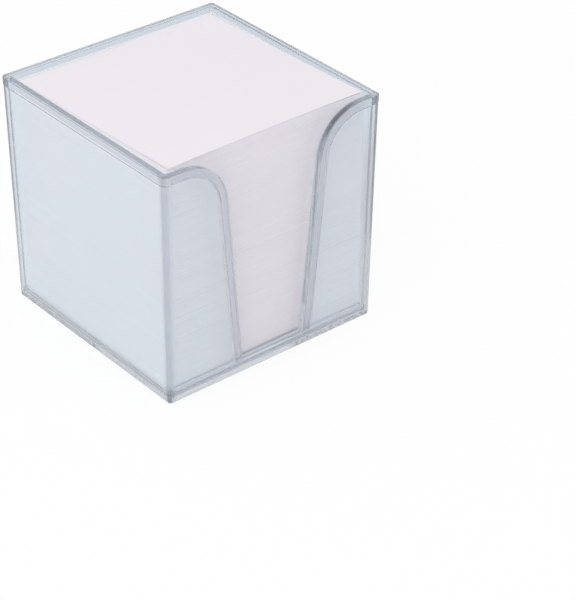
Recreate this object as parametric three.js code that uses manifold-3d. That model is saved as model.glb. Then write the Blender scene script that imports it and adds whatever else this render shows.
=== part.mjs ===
// Memo note holder: a clear double walled box for loose square memo sheets.
// Millimetres, +Z up, the finger notch in the front wall, towards -Y.
// Origin: the middle of the underside, on the surface that the box stands on.

import * as THREE from 'three';
import { mergeVertices } from 'three/addons/utils/BufferGeometryUtils.js';
import Module from 'manifold-3d';

// Paper: square sheets, and how the loose block of them lies in the tray
const sheetWidth = 90;
const sheetThickness = 0.1;
const sheetClearance = 0.95;
const paperGap = 0.1;
const paperBelowRim = 2;
const blockLean = 0.4;
const frontRise = 1.9;
const topSheetTurn = 0.5;

// Height of the box, and how far each wall leans out over that height
const boxHeight = 96;
const wallLean = 1.1;

// Walls, floors and the space for a card between the two boxes
const trayWall = 1;
const cardGap = 0.5;
const caseWall = 1.3;
const trayFloor = 1.6;
const caseFloor = 2;

// Corner radii of the case's outside, of its inside, of the tray and of its hollow
const caseCornerRadius = 1.8;
const caseHollowRadius = 0.8;
const trayCornerRadius = 1;
const hollowCornerRadius = 0.4;

// Rim of the tray, which covers the case's top edge and the edges of its notch
const rimDepth = 3.2;
const notchBandWidth = 3.2;
const rimStep = 0.15;

// Clearance between the tray and what it rests on
const seatGap = 0.3;

// Finger notch, as the opening that the tray's rim leaves free
const notchSill = 4.8;
const notchFootWidth = 29.4;
const notchNeckWidth = 43;
const shoulderDrop = 18.5;
const shoulderInset = 8.7;

// Shares of the shoulder's height and run that its curve keeps to each end
const neckPullShare = 0.58;
const rimPullShare = 0.57;

// How far a cutting solid runs past what it cuts
const overrun = 5;

const notchCurveSteps = 20;
const cornerSteps = 6;

// Widths at the underside, and insets of each surface from the case's outside
const baseWidth = sheetWidth + 2 * (sheetClearance + trayWall + cardGap + caseWall);
const trayInset = caseWall + cardGap;
const hollowInset = trayInset + trayWall;

// Heights
const trayBottom = caseFloor + seatGap;
const hollowBottom = trayBottom + trayFloor;
const rimBottom = boxHeight - rimDepth;
const caseTop = rimBottom - seatGap;
const blockBottom = hollowBottom + paperGap;
const blockTop = boxHeight - paperBelowRim - sheetThickness - paperGap;
const cutTop = boxHeight + overrun;

const wasm = await Module();
wasm.setup();

// Square outline with rounded corners, centred on the origin.
function roundedSquare(width, radius) {
  const half = width / 2;
  const straight = half - radius;
  const shape = new THREE.Shape();
  shape.moveTo(straight, -half);
  shape.absarc(straight, -straight, radius, -Math.PI / 2, 0);
  shape.absarc(straight, straight, radius, 0, Math.PI / 2);
  shape.absarc(-straight, straight, radius, Math.PI / 2, Math.PI);
  shape.absarc(-straight, -straight, radius, Math.PI, Math.PI * 1.5);
  return shape;
}

// Outer width of the case at a height.
function caseWidthAt(height) {
  return baseWidth + 2 * wallLean * (height / boxHeight);
}

// Block between two heights whose four sides lean like the outer wall and lie
// a given distance inside it. A negative inset lies outside it.
function leaningBlock(inset, radius, bottom, top) {
  const bottomWidth = caseWidthAt(bottom) - 2 * inset;
  const topWidth = caseWidthAt(top) - 2 * inset;
  const geometry = new THREE.ExtrudeGeometry(roundedSquare(topWidth, radius), {
    depth: top - bottom,
    bevelEnabled: false,
    curveSegments: cornerSteps,
  });
  const place = geometry.getAttribute('position');
  const bottomScale = bottomWidth / topWidth;
  for (let i = 0; i < place.count; i += 1) {
    const scale = place.getZ(i) > 0 ? 1 : bottomScale;
    place.setXY(i, place.getX(i) * scale, place.getY(i) * scale);
  }
  geometry.translate(0, 0, bottom);
  return geometry;
}

// Right edge of the notch as seen from the front, from its sill to the top of
// the rim. The margin moves it outwards, into the wall.
function notchEdge(margin) {
  const rimHalf = caseWidthAt(boxHeight) / 2 + rimStep;
  const foot = new THREE.Vector2(notchFootWidth / 2, notchSill);
  const neck = new THREE.Vector2(notchNeckWidth / 2, boxHeight - shoulderDrop);
  const shoulder = new THREE.Vector2(rimHalf - shoulderInset, boxHeight);
  const upwards = neck.clone().sub(foot).normalize();
  const neckPull = upwards.clone().multiplyScalar(shoulderDrop * neckPullShare).add(neck);
  const rimPull = shoulder.clone();
  rimPull.x -= (shoulder.x - neck.x) * rimPullShare;
  const curve = new THREE.CubicBezierCurve(neck, neckPull, rimPull, shoulder);
  const intoWall = (tangent) => new THREE.Vector2(tangent.y, -tangent.x).multiplyScalar(margin);
  const points = [intoWall(upwards).add(foot)];
  for (let i = 0; i <= notchCurveSteps; i += 1) {
    const t = i / notchCurveSteps;
    points.push(intoWall(curve.getTangent(t)).add(curve.getPoint(t)));
  }
  return points;
}

// Upright prism through the front wall in the outline of the notch, with its
// edges moved out by the margin, from a flat underside up past the rim.
function notchPrism(margin, bottom) {
  const edge = notchEdge(margin);
  const [foot, neck] = edge;
  const slope = (neck.x - foot.x) / (neck.y - foot.y);
  foot.x += slope * (bottom - foot.y);
  foot.y = bottom;
  const end = edge[edge.length - 1];
  edge.push(new THREE.Vector2(end.x, cutTop));
  const mirrored = edge.map((point) => new THREE.Vector2(-point.x, point.y));
  const shape = new THREE.Shape([...edge, ...mirrored.reverse()]);
  const wallThickness = hollowInset + wallLean + rimStep;
  const depth = wallThickness + 2 * overrun;
  const geometry = new THREE.ExtrudeGeometry(shape, { depth, bevelEnabled: false });
  geometry.rotateX(Math.PI / 2);
  const innerEnd = baseWidth / 2 - hollowInset - overrun;
  geometry.translate(0, -innerEnd, 0);
  return geometry;
}

// Closed solid of a geometry, for joining and cutting.
function toSolid(geometry) {
  const bare = geometry.index ? geometry.toNonIndexed() : geometry.clone();
  bare.deleteAttribute('normal');
  bare.deleteAttribute('uv');
  const merged = mergeVertices(bare);
  const mesh = new wasm.Mesh({
    numProp: 3,
    vertProperties: merged.getAttribute('position').array,
    triVerts: new Uint32Array(merged.index.array),
  });
  return new wasm.Manifold(mesh);
}

// Geometry of a closed solid, with flat faces.
function toGeometry(solid) {
  const mesh = solid.getMesh();
  const geometry = new THREE.BufferGeometry();
  geometry.setAttribute('position', new THREE.BufferAttribute(mesh.vertProperties, 3));
  geometry.setIndex(new THREE.BufferAttribute(mesh.triVerts, 1));
  const flat = geometry.toNonIndexed();
  flat.computeVertexNormals();
  return flat;
}

// Outer case: a box with a floor, cut down where the tray's rim lies.
function outerCase() {
  const body = toSolid(leaningBlock(0, caseCornerRadius, 0, caseTop));
  const hollow = toSolid(leaningBlock(caseWall, caseHollowRadius, caseFloor, cutTop));
  const notch = toSolid(notchPrism(notchBandWidth + seatGap, notchSill));
  return toGeometry(body.subtract(hollow).subtract(notch));
}

// Inner tray: a thinner box with a solid rim round its top and down both edges
// of the notch. The rim stands proud of the case by its step.
function innerTray() {
  const walls = toSolid(leaningBlock(trayInset, trayCornerRadius, trayBottom, boxHeight));
  const rimRadius = caseCornerRadius + rimStep;
  const topRim = toSolid(leaningBlock(-rimStep, rimRadius, rimBottom, boxHeight));
  const bandFoot = notchSill + seatGap;
  const bandBlock = toSolid(leaningBlock(-rimStep, rimRadius, bandFoot, boxHeight));
  const notchBand = toSolid(notchPrism(notchBandWidth, bandFoot));
  const sideBands = bandBlock.intersect(notchBand);
  const hollow = toSolid(leaningBlock(hollowInset, hollowCornerRadius, hollowBottom, cutTop));
  const notch = toSolid(notchPrism(0, notchSill));
  return toGeometry(walls.add(topRim).add(sideBands).subtract(hollow).subtract(notch));
}

// Block of loose sheets, as one solid. Its top has slid a little to the right
// and to the back, and the sheets fan up a little towards the notch.
function memoStack() {
  const height = blockTop - blockBottom;
  const geometry = new THREE.BoxGeometry(sheetWidth, sheetWidth, height);
  const place = geometry.getAttribute('position');
  for (let i = 0; i < place.count; i += 1) {
    const isTop = place.getZ(i) > 0;
    const rise = isTop ? frontRise * (0.5 - place.getY(i) / sheetWidth) : 0;
    const level = place.getZ(i) + rise;
    const slide = blockLean * (0.5 + level / height);
    place.setXYZ(i, place.getX(i) + slide, place.getY(i) + slide, level);
  }
  geometry.translate(0, 0, blockBottom + height / 2);
  geometry.computeVertexNormals();
  return geometry;
}

// The loose sheet on top, which slopes as the block does and is turned a little on it.
function topSheet() {
  const geometry = new THREE.BoxGeometry(sheetWidth, sheetWidth, sheetThickness);
  geometry.rotateZ(THREE.MathUtils.degToRad(topSheetTurn));
  geometry.rotateX(-Math.atan2(frontRise, sheetWidth));
  const middle = blockTop + frontRise / 2 + paperGap + sheetThickness / 2;
  geometry.translate(blockLean, blockLean, middle);
  return geometry;
}

function clearPlastic() {
  return new THREE.MeshStandardMaterial({ color: 0xd6e0e8, roughness: 0.08, metalness: 0 });
}

function whitePaper() {
  return new THREE.MeshStandardMaterial({ color: 0xefecef, roughness: 0.85, metalness: 0 });
}

function namedMesh(name, geometry, material) {
  const mesh = new THREE.Mesh(geometry, material);
  mesh.name = name;
  return mesh;
}

const memoNoteHolder = new THREE.Group();
memoNoteHolder.add(
  namedMesh('outer_case', outerCase(), clearPlastic()),
  namedMesh('inner_tray', innerTray(), clearPlastic()),
  namedMesh('memo_stack', memoStack(), whitePaper()),
  namedMesh('top_sheet', topSheet(), whitePaper()),
);

export default memoNoteHolder;
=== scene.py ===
import math

import bmesh
import bpy
from mathutils import Matrix, Vector


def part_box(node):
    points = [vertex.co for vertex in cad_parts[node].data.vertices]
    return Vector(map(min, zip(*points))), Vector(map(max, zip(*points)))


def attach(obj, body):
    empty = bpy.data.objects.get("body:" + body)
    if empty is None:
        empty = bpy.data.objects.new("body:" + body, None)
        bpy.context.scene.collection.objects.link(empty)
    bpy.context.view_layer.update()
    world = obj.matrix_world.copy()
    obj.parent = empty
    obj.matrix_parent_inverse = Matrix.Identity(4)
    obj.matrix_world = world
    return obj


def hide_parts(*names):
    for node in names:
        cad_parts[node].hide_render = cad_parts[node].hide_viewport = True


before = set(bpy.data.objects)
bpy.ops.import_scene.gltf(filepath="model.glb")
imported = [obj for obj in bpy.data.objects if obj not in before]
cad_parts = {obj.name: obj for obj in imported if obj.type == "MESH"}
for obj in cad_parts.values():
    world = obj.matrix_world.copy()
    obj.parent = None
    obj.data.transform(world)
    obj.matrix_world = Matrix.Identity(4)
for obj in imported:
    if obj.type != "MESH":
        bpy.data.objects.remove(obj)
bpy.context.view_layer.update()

# Outer case: a clear moulded polystyrene box with a floor and four walls that
# lean out a little. Its top is cut down to make room for the tray's rim, and
# the wide finger notch is cut through its front wall.

box_height = 0.096
base_width = 0.0975
wall_lean = 0.0011
case_wall = 0.0013
case_floor = 0.002
case_corner_radius = 0.0018
case_foot_fillet = 0.0007
case_hollow_radius = 0.0012
case_hollow_fillet = 0.0003
rim_depth = 0.0032
seat_gap = 0.0003
case_top = box_height - rim_depth - seat_gap
mould_edge = 0.00012
edge_steps = 3
sharp_angle = math.radians(40)
flat_angle = math.radians(0.2)
merge_distance = 0.000002
corner_steps = 14
fillet_steps = 6
cut_overrun = 0.005


def case_half_width(height):
    """Half the case's outer width at a height."""
    return base_width / 2 + wall_lean * height / box_height


def rounded_ring(inset, radius, height):
    """Corner points of a level rounded square that lies inset from the case's outside."""
    half = case_half_width(height) - inset
    points = []
    for quarter, (across, along) in enumerate(((1, -1), (1, 1), (-1, 1), (-1, -1))):
        for step in range(corner_steps + 1):
            angle = math.pi / 2 * (quarter - 1 + step / corner_steps)
            x = across * (half - radius) + radius * math.cos(angle)
            y = along * (half - radius) + radius * math.sin(angle)
            points.append((x, y, height))
    return points


def foot_fillet(inset, radius, bottom, fillet):
    """Profile of a rounded foot edge: insets, corner radii and heights."""
    levels = []
    for step in range(fillet_steps + 1):
        turn = math.pi / 2 * step / fillet_steps
        drawn_in = fillet * (1 - math.sin(turn))
        height = bottom + fillet * (1 - math.cos(turn))
        levels.append((inset + drawn_in, radius - drawn_in, height))
    return levels


def moulding(name, points, faces):
    """A mesh object of these points and faces, in place."""
    mesh = bpy.data.meshes.new(name)
    mesh.from_pydata(points, [], faces)
    piece = bpy.data.objects.new(name, mesh)
    bpy.context.scene.collection.objects.link(piece)
    return piece


def leaning_block(name, profile):
    """A closed block that follows a profile of insets, corner radii and heights upwards."""
    rings = [rounded_ring(*level) for level in profile]
    count = len(rings[0])
    faces = [list(range(count))[::-1]]
    for level in range(len(rings) - 1):
        low = level * count
        for i in range(count):
            j = (i + 1) % count
            faces.append((low + i, low + j, low + count + j, low + count + i))
    top = (len(rings) - 1) * count
    faces.append([top + i for i in range(count)])
    return moulding(name, [p for ring in rings for p in ring], faces)


# The notch: straight edges that open a little upwards, then a shoulder that
# curves out to the rim
notch_sill = 0.0048
notch_foot_width = 0.0294
notch_neck_width = 0.043
shoulder_drop = 0.0185
shoulder_inset = 0.0087
neck_pull_share = 0.58
rim_pull_share = 0.57
rim_step = 0.00015
notch_band_width = 0.0032
notch_cut_depth = 0.008
notch_inner_end = base_width / 2 - notch_cut_depth
shoulder_steps = 36


def notch_outline(margin, bottom):
    """Right edge of the notch from the front, moved out into the wall by the margin."""
    foot = Vector((notch_foot_width / 2, notch_sill))
    neck = Vector((notch_neck_width / 2, box_height - shoulder_drop))
    shoulder = Vector((case_half_width(box_height) + rim_step - shoulder_inset, box_height))
    upwards = (neck - foot).normalized()
    neck_pull = neck + upwards * shoulder_drop * neck_pull_share
    rim_pull = shoulder - Vector(((shoulder.x - neck.x) * rim_pull_share, 0))
    foot = foot + (neck - foot) * (bottom - foot.y) / (neck.y - foot.y)
    edge = [foot + Vector((upwards.y, -upwards.x)) * margin]
    edge[0] = edge[0] + upwards * (bottom - edge[0].y) / upwards.y
    for step in range(shoulder_steps + 1):
        t = step / shoulder_steps
        s = 1 - t
        point = s**3 * neck + 3 * s * s * t * neck_pull + 3 * s * t * t * rim_pull + t**3 * shoulder
        along = s * s * (neck_pull - neck) + 2 * s * t * (rim_pull - neck_pull)
        along += t * t * (shoulder - rim_pull)
        along.normalize()
        edge.append(point + Vector((along.y, -along.x)) * margin)
    edge.append(Vector((edge[-1].x, box_height + cut_overrun)))
    return edge


def notch_prism(name, margin, bottom):
    """A block in the outline of the notch that runs through the front wall."""
    right = notch_outline(margin, bottom)
    outline = right + [Vector((-p.x, p.y)) for p in reversed(right)]
    outer = -case_half_width(box_height) - cut_overrun
    inner = -notch_inner_end
    points = [(p.x, outer, p.y) for p in outline] + [(p.x, inner, p.y) for p in outline]
    count = len(outline)
    faces = [list(range(count)), [count + i for i in reversed(range(count))]]
    for i in range(count):
        j = (i + 1) % count
        faces.append((j, i, count + i, count + j))
    return moulding(name, points, faces)


def settled(piece):
    """Bakes the modifiers of a piece into its mesh."""
    graph = bpy.context.evaluated_depsgraph_get()
    made = bpy.data.meshes.new_from_object(piece.evaluated_get(graph))
    old = piece.data
    piece.modifiers.clear()
    piece.data = made
    bpy.data.meshes.remove(old)
    return piece


def carved(piece, operation, *tools):
    """Joins or cuts a piece with tool blocks, which are used up."""
    for tool in tools:
        change = piece.modifiers.new("carve", "BOOLEAN")
        change.solver = "MANIFOLD"
        change.operation = operation
        change.object = tool
        settled(piece)
        bpy.data.objects.remove(tool)
    return piece


def softened(piece, width):
    """Rounds the sharp edges of a moulding and gives it smooth shading with flat faces."""
    shape = bmesh.new()
    shape.from_mesh(piece.data)
    bmesh.ops.remove_doubles(shape, verts=shape.verts, dist=merge_distance)
    bmesh.ops.dissolve_limit(shape, angle_limit=flat_angle, verts=shape.verts, edges=shape.edges)
    shape.to_mesh(piece.data)
    shape.free()
    piece.data.polygons.foreach_set("use_smooth", [True] * len(piece.data.polygons))
    bevel = piece.modifiers.new("edges", "BEVEL")
    bevel.limit_method = "ANGLE"
    bevel.angle_limit = sharp_angle
    bevel.width = width
    bevel.segments = edge_steps
    piece.modifiers.new("faces", "WEIGHTED_NORMAL")
    settled(piece)
    piece.data.materials.clear()
    return piece


class Signal:
    """An output socket of a node tree. Sums and products with it become Math nodes."""

    def __init__(self, socket):
        self.socket = socket

    @classmethod
    def made(cls, tree, kind, settings=None, values=None, output=0):
        """Adds a node, sets it up, fills or links its sockets and returns one of its outputs."""
        node = tree.nodes.new(kind)
        for name, value in (settings or {}).items():
            setattr(node, name, value)
        for key, value in (values or {}).items():
            if isinstance(value, cls):
                tree.links.new(value.socket, node.inputs[key])
            else:
                node.inputs[key].default_value = value
        return cls(node.outputs[output]) if node.outputs else None

    def other(self, output):
        """Another output of the same node."""
        return Signal(self.socket.node.outputs[output])

    def maths(self, operation, *others):
        """A Math node on this value and others."""
        values = dict(enumerate((self, *others)))
        return Signal.made(self.socket.id_data, "ShaderNodeMath", {"operation": operation}, values)

    def eased(self, start, end):
        """0 up to the start and 1 from the end on, with a smooth rise between them."""
        return Signal.made(
            self.socket.id_data,
            "ShaderNodeMapRange",
            {"interpolation_type": "SMOOTHSTEP"},
            {"Value": self, "From Min": start, "From Max": end},
        )

    def between(self, first, second):
        """The colour that lies this share of the way from the first one to the second."""
        return Signal.made(
            self.socket.id_data,
            "ShaderNodeMix",
            {"data_type": "RGBA"},
            {"Factor": self, "A": first, "B": second},
            output="Result",
        )

    def __add__(self, other):
        return self.maths("ADD", other)

    __radd__ = __add__

    def __sub__(self, other):
        return self.maths("SUBTRACT", other)

    def __rsub__(self, other):
        return self.maths("MULTIPLY_ADD", -1.0, other)

    def __mul__(self, other):
        return self.maths("MULTIPLY", other)

    __rmul__ = __mul__


def srgb(red, green, blue):
    """Linear colour of an 8-bit one."""
    parts = [c / 255 for c in (red, green, blue)]
    return (*[c / 12.92 if c <= 0.04045 else ((c + 0.055) / 1.055) ** 2.4 for c in parts], 1.0)


# Clear polystyrene: a faint blue-grey cast, deeper where it is solid, and
# greyer up each corner. The deep cast also paints shade on the tray's floor and
# front foot and on the upper notch bands, and low on the right wall a darker grey
# is a painted reflection. The shades are what is left of the light that falls
# through it, and the depth colour is its own tint.
plastic_cast = srgb(253, 254, 255)
plastic_cast_deep = srgb(250, 252, 254)
plastic_cast_corner = srgb(248, 250, 253)
painted_dark_reflection = srgb(240, 240, 241)
solid_cast_and_painted_shade = srgb(219, 225, 233)
plastic_shade = srgb(252, 254, 254)
plastic_shade_dense = srgb(178, 182, 191)
corner_reach = 0.0045
right_reach = 0.0045
right_full_reach = 0.0025
right_top = 0.1
right_full_top = 0.055
clear_roughness = 0.01
haze_roughness = 0.05
corner_roughness = 0.45
solid_roughness = 0.12
flow_scale = 45.0
flow_detail = 2.0
haze_scale = 900.0
haze_detail = 3.0
haze_share = 0.03
ripple_strength = 0.12
ripple_depth = 0.0004
plastic_index = 1.58
plastic_depth_colour = (0.43, 0.47, 0.53, 1.0)
plastic_depth_density = 5.0


def upright_corner_share(axes):
    """1 along the upright corners, where two walls meet, and 0 away from them."""
    half_width = axes.other("Z") * (wall_lean / box_height) + base_width / 2
    across_share = (axes.maths("ABSOLUTE") - half_width).eased(-corner_reach, 0.0)
    along_share = (axes.other("Y").maths("ABSOLUTE") - half_width).eased(-corner_reach, 0.0)
    return across_share * along_share


def painted_reflection_share(axes):
    """1 in the lower part of the right wall, where a darker grey is painted as a reflection, and 0
    away from it.
    """
    to_right = axes.eased(base_width / 2 - right_reach, base_width / 2 - right_full_reach)
    to_foot = (right_top - axes.other("Z")).eased(0.0, right_top - right_full_top)
    return to_right * to_foot


def clear_plastic(name, pattern_shift):
    """Clear glossy plastic with a slightly wavy moulded surface.

    Light that goes on to the paper or the floor passes it as a thin tint, because
    it would not find its way through the bends of the real path.
    """
    material = bpy.data.materials.new(name)
    material.use_nodes = True
    tree = material.node_tree
    tree.nodes.clear()
    place = Signal.made(tree, "ShaderNodeTexCoord", output="Object")
    axes = Signal.made(tree, "ShaderNodeSeparateXYZ", values={"Vector": place})
    shifted = Signal.made(
        tree, "ShaderNodeMapping", values={"Vector": place, "Location": pattern_shift}
    )
    flow = Signal.made(
        tree,
        "ShaderNodeTexNoise",
        values={"Vector": shifted, "Scale": flow_scale, "Detail": flow_detail},
    )
    haze = Signal.made(
        tree,
        "ShaderNodeTexNoise",
        values={"Vector": shifted, "Scale": haze_scale, "Detail": haze_detail},
    )
    corner = upright_corner_share(axes)
    solid = Signal.made(tree, "ShaderNodeAttribute", {"attribute_name": "solid"}, output="Fac")
    wall_cast = flow.between(plastic_cast, plastic_cast_deep)
    corner_cast = corner.between(wall_cast, plastic_cast_corner)
    # Low on the right wall the cast turns a darker grey: a painted reflection.
    cast_with_painted_reflection = painted_reflection_share(axes).between(corner_cast, painted_dark_reflection)
    # The deep cast is the solid plastic's tint, and painted shade on the tray's floor, foot and
    # upper bands.
    cast = solid.between(cast_with_painted_reflection, solid_cast_and_painted_shade)
    roughness = haze * haze_roughness + corner * corner_roughness + solid * solid_roughness
    ripple = Signal.made(
        tree,
        "ShaderNodeBump",
        values={
            "Height": flow + haze * haze_share,
            "Strength": ripple_strength,
            "Distance": ripple_depth,
        },
    )
    body = Signal.made(
        tree,
        "ShaderNodeBsdfPrincipled",
        values={
            "Base Color": cast,
            "Roughness": roughness + clear_roughness,
            "IOR": plastic_index,
            "Transmission Weight": 1.0,
            "Normal": ripple,
        },
    )
    thin = Signal.made(tree, "ShaderNodeBsdfTransparent", values={"Color": plastic_shade})
    thick = Signal.made(tree, "ShaderNodeBsdfTransparent", values={"Color": plastic_shade_dense})
    dense = Signal.made(tree, "ShaderNodeAttribute", {"attribute_name": "dense"}, output="Fac")
    shade = Signal.made(tree, "ShaderNodeMixShader", values={0: dense, 1: thin, 2: thick})
    in_shadow = Signal.made(tree, "ShaderNodeLightPath", output="Is Shadow Ray")
    in_glow = in_shadow.other("Is Diffuse Ray")
    lit_body = Signal.made(tree, "ShaderNodeMixShader", values={0: in_glow, 1: body, 2: shade})
    surface = Signal.made(tree, "ShaderNodeMixShader", values={0: in_shadow, 1: lit_body, 2: shade})
    depth = Signal.made(
        tree,
        "ShaderNodeVolumeAbsorption",
        values={"Color": plastic_depth_colour, "Density": plastic_depth_density},
    )
    Signal.made(tree, "ShaderNodeOutputMaterial", values={"Surface": surface, "Volume": depth})
    return material


case_profile = foot_fillet(0, case_corner_radius, 0, case_foot_fillet)
case_profile.append((0, case_corner_radius, case_top))
case_hollow = foot_fillet(case_wall, case_hollow_radius, case_floor, case_hollow_fillet)
case_hollow.append((case_wall, case_hollow_radius, box_height + cut_overrun))
outer_case = leaning_block("clear_outer_case", case_profile)
carved(
    outer_case,
    "DIFFERENCE",
    leaning_block("case_hollow", case_hollow),
    notch_prism("case_notch", notch_band_width + seat_gap, notch_sill),
)
softened(outer_case, mould_edge)
outer_case.data.materials.append(clear_plastic("clear_polystyrene_case", (0, 0, 0)))
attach(outer_case, "case")
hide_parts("outer_case")

# Inner tray: a thinner moulded box of the same plastic that drops into the
# case. Its solid rim covers the case's top edge and runs down both edges of the
# notch, and a card fits into the narrow space between the two boxes.

tray_wall = 0.001
card_gap = 0.0005
tray_inset = case_wall + card_gap
tray_seat = 0.00004
tray_bottom = case_floor + tray_seat
floor_edge_gap = 0.00008
floor_edge_inset = case_wall + floor_edge_gap
floor_edge_top = 0.0036
tray_floor_top = 0.0039
tray_corner_radius = 0.0012
tray_foot_fillet = 0.0003
hollow_inset = tray_inset + tray_wall
hollow_corner_radius = 0.001
tray_hollow_fillet = 0.0007
rim_bottom = box_height - rim_depth
rim_radius = case_corner_radius + rim_step
rim_edge = 0.00018
mark_margin = 0.00005
cut_edge_facing = 0.5
pale_band_top = 0.04
full_band_bottom = 0.06
pale_band_share = 0.05
rim_corner_share = 0.6
floor_painted_shade_share = 0.5
tray_pattern_shift = (0.31, 0.17, 0.05)

tray_profile = foot_fillet(floor_edge_inset, tray_corner_radius, tray_bottom, tray_foot_fillet)
tray_profile.append((floor_edge_inset, tray_corner_radius, floor_edge_top))
tray_profile.append((tray_inset, tray_corner_radius, floor_edge_top))
tray_profile.append((tray_inset, tray_corner_radius, rim_bottom))
tray_profile.append((-rim_step, rim_radius, rim_bottom))
tray_profile.append((-rim_step, rim_radius, box_height))
tray_hollow = foot_fillet(hollow_inset, hollow_corner_radius, tray_floor_top, tray_hollow_fillet)
tray_hollow.append((hollow_inset, hollow_corner_radius, box_height + cut_overrun))
band_foot = notch_sill + seat_gap
side_bands = leaning_block(
    "side_bands", [(-rim_step, rim_radius, band_foot), (-rim_step, rim_radius, box_height)]
)
carved(side_bands, "INTERSECT", notch_prism("band_outline", notch_band_width, band_foot))
inner_tray = leaning_block("clear_inner_tray", tray_profile)
carved(inner_tray, "UNION", side_bands)
carved(
    inner_tray,
    "DIFFERENCE",
    leaning_block("tray_hollow", tray_hollow),
    notch_prism("tray_notch", 0, notch_sill),
)
softened(inner_tray, rim_edge)


def band_share(height):
    """Share of the deep cast on the notch's bands at a height: hardly any at their foot, full at
    their top, a painted shade that darkens the bands towards their top.
    """
    rise = (height - pale_band_top) / (full_band_bottom - pale_band_top)
    return pale_band_share + (1 - pale_band_share) * min(max(rise, 0.0), 1.0)


def mark_solid_and_shaded_faces(piece):
    """Marks how deep a cast each face gets, for solid plastic and as painted shade, and which faces
    shade the paper more than a wall does.
    """
    solid = piece.data.attributes.new("solid", "FLOAT", "FACE")
    dense = piece.data.attributes.new("dense", "FLOAT", "FACE")
    for face in piece.data.polygons:
        middle = face.center
        half_width = case_half_width(middle.z)
        is_in_front = middle.y < hollow_inset - half_width - mark_margin
        is_cut_edge = is_in_front and abs(face.normal.y) < cut_edge_facing
        is_top = middle.z > box_height - rim_edge - mark_margin
        stands_out = max(abs(middle.x), abs(middle.y)) > half_width - tray_inset + mark_margin
        is_above_floor = middle.z > floor_edge_top + mark_margin
        is_rim_corner = min(abs(middle.x), abs(middle.y)) > half_width - rim_radius
        is_front_foot = middle.z < notch_sill + mark_margin and middle.y < -notch_inner_end
        is_floor_top = abs(middle.z - tray_floor_top) < mark_margin
        # The front foot and the floor's top get the deep cast as painted shade, for the dark line
        # under the paper.
        if is_front_foot:
            solid.data[face.index].value = 1.0
        elif is_floor_top:
            solid.data[face.index].value = floor_painted_shade_share
        elif is_above_floor and (stands_out or is_cut_edge or is_top):
            share = rim_corner_share if is_rim_corner else band_share(middle.z)
            solid.data[face.index].value = share
        dense.data[face.index].value = float(is_cut_edge or is_front_foot or is_floor_top)


mark_solid_and_shaded_faces(inner_tray)
inner_tray.data.materials.append(clear_plastic("clear_polystyrene_tray", tray_pattern_shift))
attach(inner_tray, "tray")
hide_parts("inner_tray")

# Memo stack: a block of loose white paper sheets, cut square, that lies on
# the tray's floor. They are not glued, so the block leans a little, fans and
# bows up towards the notch, and its lowest sheets lie a little back.

sheet_width = 0.09
sheet_pitch = 0.0001
sheet_body_share = 0.94
stack_lean = 0.0004
stack_rise = 0.0019
stack_bow = 0.0006
stack_low, stack_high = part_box("memo_stack")
stack_height = stack_high.z - stack_rise - stack_low.z
sheet_count = round(stack_height / sheet_pitch)
sheet_wander = 0.00012
sheet_jitter = 0.00003
sheet_twist = math.radians(0.05)
foot_sheets = 13
foot_shift = 0.0005
sheet_cells_across = 8
sheet_cells_along = 3
wander_pace_across = 0.013
wander_pace_along = 0.011
wander_start_along = 40.0
wander_detail = 3.0
bow_power = 3.0
pile_seed = 7

white_paper_colour = srgb(240, 236, 240)
white_paper_shade = srgb(234, 231, 236)
fibre_scale = 1400.0
fibre_detail = 3.0
fibre_strength = 0.15
fibre_depth = 0.00002
cloud_scale = 30.0
cloud_detail = 2.0
cloud_share = 0.6
layer_scale = (4.0, 4.0, 2500.0)
layer_detail = 4.0
block_layer_share = 0.5
paper_roughness = 0.8
fibre_roughness = 0.1
paper_specular = 0.25


def white_paper(name, layer_share):
    """Matt uncoated white paper with a faint grain, and lines between sheets on its cut edges."""
    material = bpy.data.materials.new(name)
    material.use_nodes = True
    tree = material.node_tree
    tree.nodes.clear()
    place = Signal.made(tree, "ShaderNodeTexCoord", output="Object")
    fibre = Signal.made(
        tree,
        "ShaderNodeTexNoise",
        values={"Vector": place, "Scale": fibre_scale, "Detail": fibre_detail},
    )
    cloud = Signal.made(
        tree,
        "ShaderNodeTexNoise",
        values={"Vector": place, "Scale": cloud_scale, "Detail": cloud_detail},
    )
    flattened = Signal.made(
        tree, "ShaderNodeMapping", values={"Vector": place, "Scale": layer_scale}
    )
    layers = Signal.made(
        tree,
        "ShaderNodeTexNoise",
        values={"Vector": flattened, "Scale": 1.0, "Detail": layer_detail},
    )
    grey_share = cloud * cloud_share + layers * layer_share
    grain = Signal.made(
        tree,
        "ShaderNodeBump",
        values={"Height": fibre, "Strength": fibre_strength, "Distance": fibre_depth},
    )
    body = Signal.made(
        tree,
        "ShaderNodeBsdfPrincipled",
        values={
            "Base Color": grey_share.between(white_paper_colour, white_paper_shade),
            "Roughness": fibre * fibre_roughness + paper_roughness,
            "Specular IOR Level": paper_specular,
            "Normal": grain,
        },
    )
    Signal.made(tree, "ShaderNodeOutputMaterial", values={"Surface": body})
    return material


def slow_wander(tree, phase):
    """Noise about 0 that changes slowly from sheet to sheet."""
    noise = Signal.made(
        tree,
        "ShaderNodeTexNoise",
        {"noise_dimensions": "1D"},
        {"W": phase, "Scale": 1.0, "Detail": wander_detail},
    )
    return noise - 0.5


def quick_jitter(tree, level, seed):
    """A random number from -1 to 1 for each sheet."""
    return Signal.made(
        tree,
        "FunctionNodeRandomValue",
        {"data_type": "FLOAT"},
        {2: -1.0, 3: 1.0, "ID": level, "Seed": seed},
        output=1,
    )


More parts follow.
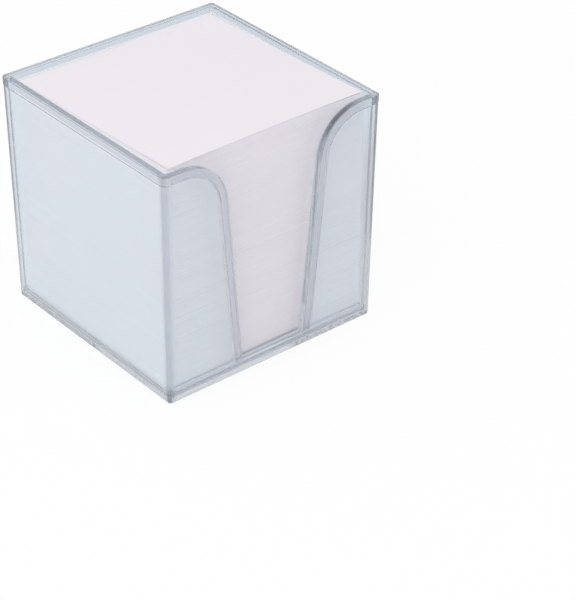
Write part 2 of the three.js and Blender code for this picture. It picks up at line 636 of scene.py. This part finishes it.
def sheet_pile(paper):
    """Geometry tree that piles sheets with small random shifts, and bows the upper ones."""
    tree = bpy.data.node_groups.new("sheet_pile", "GeometryNodeTree")
    face = tree.interface
    face.new_socket("Geometry", in_out="OUTPUT", socket_type="NodeSocketGeometry")
    for name, kind in (
        ("Sheets", "NodeSocketInt"),
        ("Width", "NodeSocketFloat"),
        ("Thickness", "NodeSocketFloat"),
        ("Pitch", "NodeSocketFloat"),
        ("Bottom", "NodeSocketFloat"),
        ("Lean", "NodeSocketFloat"),
        ("Rise", "NodeSocketFloat"),
        ("Bow", "NodeSocketFloat"),
        ("Wander", "NodeSocketFloat"),
        ("Jitter", "NodeSocketFloat"),
        ("Twist", "NodeSocketFloat"),
        ("Foot Sheets", "NodeSocketInt"),
        ("Foot Shift", "NodeSocketFloat"),
        ("Seed", "NodeSocketInt"),
    ):
        face.new_socket(name, in_out="INPUT", socket_type=kind)
    asked = Signal.made(tree, "NodeGroupInput")
    count = asked.other("Sheets")
    level = Signal.made(tree, "GeometryNodeInputIndex")
    share = level.maths("DIVIDE", count)
    lift = asked.other("Rise") * share
    height = asked.other("Bottom") + (level + 0.5) * asked.other("Pitch") + lift * 0.5
    lean = asked.other("Lean") * share
    slow_x = slow_wander(tree, level * wander_pace_across)
    slow_y = slow_wander(tree, level * wander_pace_along + wander_start_along)
    quick_x = quick_jitter(tree, level, asked.other("Seed"))
    quick_y = quick_jitter(tree, level, asked.other("Seed") + 1.0)
    quick_turn = quick_jitter(tree, level, asked.other("Seed") + 2.0)
    wander_x = slow_x * asked.other("Wander") * 2.0 + quick_x * asked.other("Jitter")
    wander_y = slow_y * asked.other("Wander") * 2.0 + quick_y * asked.other("Jitter")
    foot_back = level.maths("LESS_THAN", asked.other("Foot Sheets")) * asked.other("Foot Shift")
    place = Signal.made(
        tree,
        "ShaderNodeCombineXYZ",
        values={"X": lean + wander_x, "Y": lean + wander_y + foot_back, "Z": height},
    )
    slope = (lift * -1.0).maths("DIVIDE", asked.other("Width"))
    turn = Signal.made(
        tree, "ShaderNodeCombineXYZ", values={"X": slope, "Z": quick_turn * asked.other("Twist")}
    )
    spots = Signal.made(tree, "GeometryNodePoints", values={"Count": count, "Position": place})
    size = Signal.made(
        tree,
        "ShaderNodeCombineXYZ",
        values={
            "X": asked.other("Width"),
            "Y": asked.other("Width"),
            "Z": asked.other("Thickness"),
        },
    )
    sheet = Signal.made(
        tree,
        "GeometryNodeMeshCube",
        values={
            "Size": size,
            "Vertices X": sheet_cells_across + 1,
            "Vertices Y": sheet_cells_along + 1,
        },
    )
    piled = Signal.made(
        tree,
        "GeometryNodeInstanceOnPoints",
        values={"Points": spots, "Instance": sheet, "Rotation": turn},
    )
    whole = Signal.made(tree, "GeometryNodeRealizeInstances", values={"Geometry": piled})
    position = Signal.made(tree, "GeometryNodeInputPosition")
    corner = Signal.made(tree, "ShaderNodeSeparateXYZ", values={"Vector": position})
    above_foot = corner.other("Z") - asked.other("Bottom")
    stack_share = above_foot.maths("DIVIDE", count * asked.other("Pitch"))
    half_across = corner.maths("DIVIDE", asked.other("Width")) * 2.0
    dome = (1.0 - half_across * half_across).maths("MAXIMUM", 0.0)
    to_front = 0.5 - corner.other("Y").maths("DIVIDE", asked.other("Width"))
    bow = asked.other("Bow") * stack_share.maths("POWER", bow_power) * dome * to_front
    offset = Signal.made(tree, "ShaderNodeCombineXYZ", values={"Z": bow})
    bowed = Signal.made(
        tree, "GeometryNodeSetPosition", values={"Geometry": whole, "Offset": offset}
    )
    finished = Signal.made(
        tree, "GeometryNodeSetMaterial", values={"Geometry": bowed, "Material": paper}
    )
    Signal.made(tree, "NodeGroupOutput", values={"Geometry": finished})
    return tree


memo_stack = moulding("memo_sheets", [], [])
pile = memo_stack.modifiers.new("pile", "NODES")
pile.node_group = sheet_pile(white_paper("white_paper_block", block_layer_share))
sheet_sizes = {
    "Sheets": sheet_count,
    "Width": sheet_width,
    "Thickness": sheet_pitch * sheet_body_share,
    "Pitch": sheet_pitch,
    "Bottom": stack_low.z,
    "Lean": stack_lean,
    "Rise": stack_rise,
    "Bow": stack_bow,
    "Wander": sheet_wander,
    "Jitter": sheet_jitter,
    "Twist": sheet_twist,
    "Foot Sheets": foot_sheets,
    "Foot Shift": foot_shift,
    "Seed": pile_seed,
}
for socket in pile.node_group.interface.items_tree:
    if socket.in_out == "INPUT":
        pile[socket.identifier] = sheet_sizes[socket.name]
settled(memo_stack)
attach(memo_stack, "block")
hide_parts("memo_stack")

# Top sheet: the loose sheet of the same paper that is taken next. It lies on
# the block and bows with it, turned by a hair, and its corners lift a little.

top_low, top_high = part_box("top_sheet")
sheet_thickness = 0.0001
top_turn = math.radians(0.5)
top_tilt = -math.atan2(stack_rise, sheet_width)
top_middle = (top_low.z + top_high.z) / 2
curl_height = 0.0002
curl_start = 1.2
curl_cells = 24


def curl_at(across, along):
    """How far the sheet lifts at its corners and in its bow, at a place from -1 to 1 each way."""
    corner = max(0.0, abs(across) + abs(along) - curl_start) / (2 - curl_start)
    to_front = (1 - along) / 2
    return curl_height * corner**2 + stack_bow * (1 - across**2) * to_front


grid_points = []
for side in (1, 0):
    for row in range(curl_cells + 1):
        for column in range(curl_cells + 1):
            across = 2 * column / curl_cells - 1
            along = 2 * row / curl_cells - 1
            height = (side - 0.5) * sheet_thickness + curl_at(across, along)
            grid_points.append((across * sheet_width / 2, along * sheet_width / 2, height))
row_length = curl_cells + 1
under = row_length * row_length
sheet_faces = []
for row in range(curl_cells):
    for column in range(curl_cells):
        a = row * row_length + column
        b = a + 1
        c = a + 1 + row_length
        d = a + row_length
        sheet_faces.append((a, b, c, d))
        sheet_faces.append((under + d, under + c, under + b, under + a))
border = list(range(row_length))
border += [row * row_length + curl_cells for row in range(1, row_length)]
border += [curl_cells * row_length + column for column in reversed(range(curl_cells))]
border += [row * row_length for row in reversed(range(1, curl_cells))]
for i, a in enumerate(border):
    b = border[(i + 1) % len(border)]
    sheet_faces.append((b, a, under + a, under + b))
top_sheet = moulding("loose_top_sheet", grid_points, sheet_faces)
top_turned = Matrix.Rotation(top_tilt, 4, "X") @ Matrix.Rotation(top_turn, 4, "Z")
top_place = Matrix.Translation((stack_lean, stack_lean, top_middle))
top_sheet.data.transform(top_place @ top_turned)
top_sheet.data.materials.append(white_paper("white_paper_sheet", 0.0))
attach(top_sheet, "sheet")
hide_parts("top_sheet")

# Floor: a pale matt table top with a soft shadow on it. It is no part of the
# holder. Seen through the clear plastic it glows a darker grey-blue, a painted
# shade for the table in the box's shadow.

floor_half_width = 4.0
floor_drop = 0.0001
floor_colour = srgb(250, 250, 251)
floor_white_share = 0.9
floor_painted_shade_seen_through = srgb(227, 232, 238)
surround_seen_through_share = 0.9
floor_sides = ((-1, -1), (1, -1), (1, 1), (-1, 1))

floor = moulding(
    "pale_floor",
    [(x * floor_half_width, y * floor_half_width, -floor_drop) for x, y in floor_sides],
    [(0, 1, 2, 3)],
)
floor_material = bpy.data.materials.new("pale_floor")
floor_material.use_nodes = True
floor_tree = floor_material.node_tree
floor_tree.nodes.clear()


def seen_directly(tree):
    """1 for rays from the camera and off gloss, a little less through clear plastic, else 0."""
    rays = Signal.made(tree, "ShaderNodeLightPath", output="Is Camera Ray")
    through = rays.other("Is Transmission Ray") * surround_seen_through_share
    return rays.maths("MAXIMUM", rays.other("Is Glossy Ray")).maths("MAXIMUM", through)


matt = Signal.made(floor_tree, "ShaderNodeBsdfDiffuse", values={"Color": floor_colour})
glow = Signal.made(floor_tree, "ShaderNodeEmission", values={"Strength": 1.0})
floor_share = seen_directly(floor_tree) * floor_white_share
floor_direct = Signal.made(
    floor_tree, "ShaderNodeMixShader", values={0: floor_share, 1: matt, 2: glow}
)
# Rays through the clear plastic see a darker grey-blue glow: painted shade for the table under the
# box.
floor_shade_behind = Signal.made(
    floor_tree, "ShaderNodeEmission", values={"Color": floor_painted_shade_seen_through, "Strength": 1.0}
)
through_plastic = Signal.made(floor_tree, "ShaderNodeLightPath", output="Is Transmission Ray")
floor_surface = Signal.made(
    floor_tree, "ShaderNodeMixShader", values={0: through_plastic, 1: floor_direct, 2: floor_shade_behind}
)
Signal.made(floor_tree, "ShaderNodeOutputMaterial", values={"Surface": floor_surface})
floor.data.materials.append(floor_material)

# Light: an even pale surround, white where it is seen directly, and one wide
# soft lamp above and to the left of the notch.

surround_strength = 0.83
surround_colour = srgb(252, 251, 253)
full_white = (1.0, 1.0, 1.0, 1.0)
lamp_place = Vector((-0.92, -0.4, 1.3))
lamp_aim = Vector((0, 0, 0.05))
lamp_width = 1.2
lamp_watts = 6.5

world = bpy.data.worlds.new("pale_surround")
bpy.context.scene.world = world
world.use_nodes = True
sky = world.node_tree
sky.nodes.clear()
lit = Signal.made(
    sky, "ShaderNodeBackground", values={"Color": surround_colour, "Strength": surround_strength}
)
white = Signal.made(
    sky, "ShaderNodeBackground", values={"Color": full_white, "Strength": 1.0}
)
backdrop = Signal.made(sky, "ShaderNodeMixShader", values={0: seen_directly(sky), 1: lit, 2: white})
Signal.made(sky, "ShaderNodeOutputWorld", values={"Surface": backdrop})

lamp_data = bpy.data.lights.new("soft_lamp", "AREA")
lamp_data.shape = "DISK"
lamp_data.size = lamp_width
lamp_data.energy = lamp_watts
lamp = bpy.data.objects.new("soft_lamp", lamp_data)
lamp.location = lamp_place
lamp.rotation_euler = (lamp_aim - lamp_place).to_track_quat("-Z", "Y").to_euler()
bpy.context.scene.collection.objects.link(lamp)

# Camera: above the box and to the left of its notch, as in the photograph.

camera_place = Vector((-0.45062, -0.59282, 0.48405))
camera_aim = Vector((0.01455, -0.03978, 0.0155))
camera_roll = math.radians(0.4786)
camera_lens = 135.97

camera_data = bpy.data.cameras.new("camera")
camera_data.lens = camera_lens
camera = bpy.data.objects.new("camera", camera_data)
camera.location = camera_place
level_turn = (camera_aim - camera_place).to_track_quat("-Z", "Y").to_matrix()
camera.rotation_euler = (level_turn @ Matrix.Rotation(camera_roll, 3, "Z")).to_euler()
bpy.context.scene.collection.objects.link(camera)
bpy.context.scene.camera = camera
bpy.context.scene.view_settings.view_transform = "Standard"

# Light passes many walls and edges of clear plastic before it comes out
light_turns = 128
light_paths = bpy.context.scene.cycles
light_paths.max_bounces = light_turns
light_paths.transmission_bounces = light_turns
light_paths.glossy_bounces = light_turns
light_paths.transparent_max_bounces = light_turns
